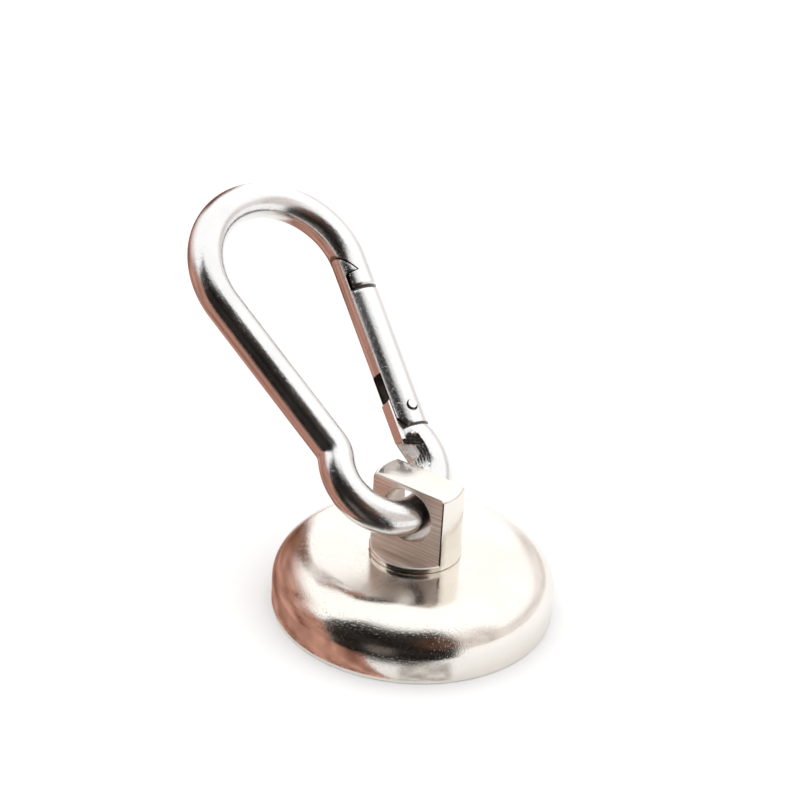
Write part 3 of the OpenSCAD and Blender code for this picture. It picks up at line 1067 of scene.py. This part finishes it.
def glow(name, dark, light, clouds):
    """Light that drifts between two colours over a sheet, and fades out by the sheet's fade attribute."""
    material = bpy.data.materials.new(name)
    material.use_nodes = True
    tree = material.node_tree
    tree.nodes.clear()
    place = tree.nodes.new("ShaderNodeUVMap")
    place.uv_map = "sheet"
    drift = tree.nodes.new("ShaderNodeTexNoise")
    drift.inputs["Scale"].default_value = clouds
    link(tree, place, "UV", drift, "Vector")
    emission = tree.nodes.new("ShaderNodeEmission")
    link(tree, tint(tree, drift, dark, light), "Color", emission, "Color")
    fade = tree.nodes.new("ShaderNodeAttribute")
    fade.attribute_name = "fade"
    mix = tree.nodes.new("ShaderNodeMixShader")
    link(tree, fade, "Fac", mix, 0)
    link(tree, tree.nodes.new("ShaderNodeBsdfTransparent"), "BSDF", mix, 1)
    link(tree, emission, "Emission", mix, 2)
    link(tree, mix, "Shader", tree.nodes.new("ShaderNodeOutputMaterial"), "Surface")
    return material


def card(name, place, colours, soft, clouds):
    """Sheet that only reflections see. place gives its point for u and v, which both run from 0 to 1.

    soft holds the share of the sheet over which its u=0, u=1, v=0 and v=1 edges fade.
    """
    bm = bmesh.new()
    uv = bm.loops.layers.uv.new("sheet")
    fade = bm.verts.layers.float.new("fade")
    grid, spot = [], {}
    for i in range(CARD_STEPS + 1):
        row = []
        for k in range(CARD_STEPS + 1):
            u, v = i / CARD_STEPS, k / CARD_STEPS
            vert = bm.verts.new(place(u, v))
            strength = 1.0
            for reach, width in zip((u, 1 - u, v, 1 - v), soft):
                strength *= smooth_step(reach / width) if width else 1.0
            vert[fade] = strength
            spot[vert] = (u, v)
            row.append(vert)
        grid.append(row)
    for a, b in zip(grid, grid[1:]):
        for k in range(CARD_STEPS):
            face = bm.faces.new((a[k], a[k + 1], b[k + 1], b[k]))
            for loop in face.loops:
                loop[uv].uv = spot[loop.vert]
    obj = new_object(name, bm)
    obj.data.materials.append(glow(name, *colours, clouds))
    for ray in ("camera", "diffuse", "shadow", "transmission", "volume_scatter"):
        setattr(obj, "visible_" + ray, False)


def tent_card(name, azimuths, elevations, colours, soft, distance=1.5, clouds=3.0):
    """Card on a dome round the magnet, between two azimuths and two elevations, distance metres away."""
    def place(u, v):
        return direction(between(azimuths, u), between(elevations, v)) * distance

    card(name, place, colours, soft, clouds)


def wall_card(name, azimuths, radius, heights, colours, soft, clouds):
    """Upright card that stands round the magnet, close enough to sit lower for the hook than for the cup.

    radius and heights are in millimetres.
    """
    def place(u, v):
        return (direction(between(azimuths, u), 0) * radius + Vector((0, 0, between(heights, v)))) * MM

    card(name, place, colours, soft, clouds)


def floor_card(name, azimuths, reach, colours, soft, height, clouds=3.0, bow=0.0, slant=0.0):
    """Card on the floor that fans out from the cup's wall along the mirrored lines of sight of the camera.

    azimuths are where the lines go, and reach is how far from the wall it starts and ends, in millimetres.
    height is above the floor. bow pushes the near edge's two ends out, and slant turns the last azimuth
    back along the reach.
    """
    def place(u, v):
        to = between((azimuths[0], azimuths[1] - slant * v), u)
        wall = direction((to + CAMERA_AZIMUTH) / 2, 0) * CUP_R
        start = reach[0] + bow * abs(2 * u - 1) ** 3
        away = start * (reach[1] / start) ** v
        return (wall + direction(to, 0) * away + Vector((0, 0, height))) * MM

    card(name, place, colours, soft, clouds)


def studio():
    """White tent, open towards the camera, with a few cards that shape the reflections."""
    world = bpy.data.worlds.new("white_tent")
    bpy.context.scene.world = world
    world.use_nodes = True
    background = world.node_tree.nodes["Background"]
    background.inputs["Color"].default_value = (1, 1, 1, 1)
    background.inputs["Strength"].default_value = TENT_LIGHT

    tent_card("opening", (-36.5, 76), (-2, 78), OPENING, (0.045, 0.07, 0, 0.28))
    tent_card("opening_edge", (-41, -28), (11, 50), OPENING, (0.25, 0.2, 0.3, 0.3), 1.48)
    tent_card("opening_side", (32, 76), (2, 64), OPENING_SIDE, (0.75, 0.14, 0.3, 0.45), 1.46, 5.0)
    tent_card("stand", (-2, 26), (-2, 12), STAND, (0.3, 0.3, 0, 0.5), 1.45)
    floor_card("opening_floor", (-33, 76), (3.4, FAR), OPENING, (0.045, 0.07, 0.04, 0), 0.2, bow=4.0)
    floor_card("stand_floor", (-2, 26), (6, FAR), STAND, (0.3, 0.3, 0.2, 0), 0.3)
    floor_card("warm_front", (-31, 28), (0.5, 8.0), WARM, (0, 0.12, 0, 0), 0.12, 2.0, slant=36)
    floor_card("grey_front", (22, 72), (0.5, 4.5), PALE_GREY, (0.15, 0.15, 0, 0), 0.05)

    tent_card("warm_wall", (-76, -32), (-2, 30), WARM, (0.5, 0.05, 0, 0.6), 1.55, 4.0)
    wall_card("warm_hand", (-112, -42), 75, (0, 72), WARM, (0.1, 0.3, 0, 0.62), 4.0)
    wall_card("warm_post", (-123, -99), 72, (0, 72), WARM_DARK, (0.25, 0.3, 0, 0.25), 2.0)
    floor_card("warm_floor", (-142, -28), (0.5, FAR), WARM, (0.06, 0.02, 0, 0), 0.1, 4.0)
    tent_card("pale_side", (72, 114), (-2, 64), PALE_SIDE, (0.1, 0.15, 0, 0.6), 1.56, 4.0)
    tent_card("seam", (97, 102), (-2, 54), SEAM, (0.4, 0.4, 0, 0.2), 1.5)
    tent_card("low_wall", (104, 205), (-2, 30), OFF_WHITE, (0.1, 0.1, 0, 0.5), 1.55)


def camera():
    """Long lens that looks down at the magnet from its front right."""
    back = direction(CAMERA_AZIMUTH, CAMERA_ELEVATION)
    data = bpy.data.cameras.new("camera")
    data.lens = CAMERA_LENS
    data.sensor_width = CAMERA_SENSOR
    data.clip_start, data.clip_end = 0.01, 20
    obj = bpy.data.objects.new("camera", data)
    bpy.context.scene.collection.objects.link(obj)
    obj.location = CAMERA_AIM + back * CAMERA_DISTANCE
    look = (-back).to_track_quat("-Z", "Y").to_matrix().to_4x4()
    obj.rotation_mode = "QUATERNION"
    obj.rotation_quaternion = (look @ Matrix.Rotation(math.radians(CAMERA_ROLL), 4, "Z")).to_quaternion()
    bpy.context.scene.camera = obj


floor()
studio()
camera()
scene = bpy.context.scene
scene.view_settings.view_transform = "Standard"
scene.view_settings.look = "None"
